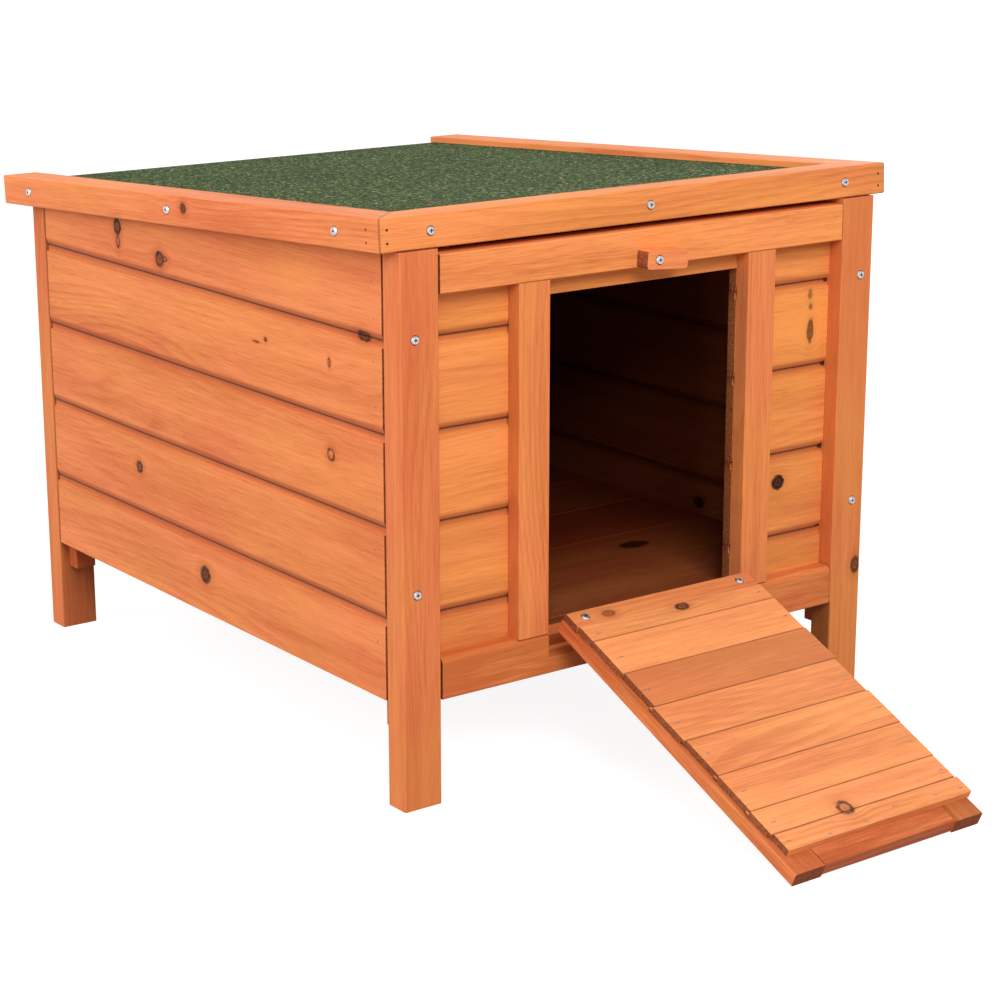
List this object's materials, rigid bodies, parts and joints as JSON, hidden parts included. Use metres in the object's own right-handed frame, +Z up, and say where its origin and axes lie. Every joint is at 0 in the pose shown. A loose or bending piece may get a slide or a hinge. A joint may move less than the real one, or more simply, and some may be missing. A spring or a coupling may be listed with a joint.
{
  "type": "pet hutch",
  "caption": "Low wooden pet hutch on corner posts with a hinged felted lean-to roof, a framed front doorway, a fold-up slatted ramp that closes it and a wooden turn button.",
  "frame": {"origin": "on the ground, under the middle of the box that holds the hutch with its ramp let down", "axes": "+Z up, the doorway and ramp face -Y, +X to the right as seen from the front"},
  "size_m": [0.5208, 0.9128, 0.4679],
  "materials": {
    "frame_pine": "orange-brown stain, satin",
    "board_pine": "orange-brown stain, satin",
    "ramp_pine": "orange-brown stain, satin",
    "inner_pine": "stained, dull",
    "green_felt": "matt mineral grit",
    "zinc_steel": "bright zinc plate"
  },
  "bodies": {
    "cabin": {"post_front_left": "frame_pine", "post_front_right": "frame_pine", "post_back_left": "frame_pine", "post_back_right": "frame_pine", "corner_cleats": "inner_pine", "wall_left": "board_pine", "wall_right": "board_pine", "wall_back": "board_pine", "front_board_bottom": "board_pine", "front_boards_left": "board_pine", "front_boards_right": "board_pine", "front_board_top": "board_pine", "top_rail": "frame_pine", "bottom_rail": "frame_pine", "stile_left": "frame_pine", "stile_right": "frame_pine", "back_rail": "inner_pine", "side_ledgers": "inner_pine", "front_ledger": "inner_pine", "back_ledger": "inner_pine", "floor_boards": "inner_pine", "roof_hinge_fixed": "zinc_steel", "roof_hinge_pins": "zinc_steel", "ramp_hinge_fixed": "zinc_steel", "ramp_hinge_pins": "zinc_steel", "button_screw": "zinc_steel", "post_screws": "zinc_steel", "wall_leaf_screws": "zinc_steel", "rail_plate_screws": "zinc_steel"},
    "roof": {"roof_deck": "inner_pine", "roof_felt": "green_felt", "roof_rail_left": "frame_pine", "roof_rail_right": "frame_pine", "roof_rail_front": "frame_pine", "roof_back_batten": "inner_pine", "roof_hinge_moving": "zinc_steel", "roof_screws": "zinc_steel", "roof_leaf_screws": "zinc_steel"},
    "ramp": {"ramp_batten_left": "ramp_pine", "ramp_batten_right": "ramp_pine", "ramp_head_rail": "ramp_pine", "ramp_foot_rail": "ramp_pine", "ramp_top_bar": "ramp_pine", "ramp_slats": "ramp_pine", "ramp_hinge_moving": "zinc_steel", "ramp_screws": "zinc_steel", "ramp_plate_screws": "zinc_steel"},
    "button": {"turn_button": "frame_pine"}
  },
  "joints": [
    {"name": "roof_hinge", "type": "hinge", "parent": "cabin", "child": "roof", "pos_m": [0, 0.43403, 0.40274], "axis": [-1, 0, 0], "range_deg": [0, 95]},
    {"name": "ramp_hinge", "type": "hinge", "parent": "cabin", "child": "ramp", "pos_m": [0, -0.17797, 0.1085], "axis": [-1, 0, 0], "range_deg": [0, 113.72]},
    {"name": "button_turn", "type": "hinge", "parent": "cabin", "child": "button", "pos_m": [-0.005, -0.16957, 0.414], "axis": [0, 1, 0], "continuous": true}
  ]
}
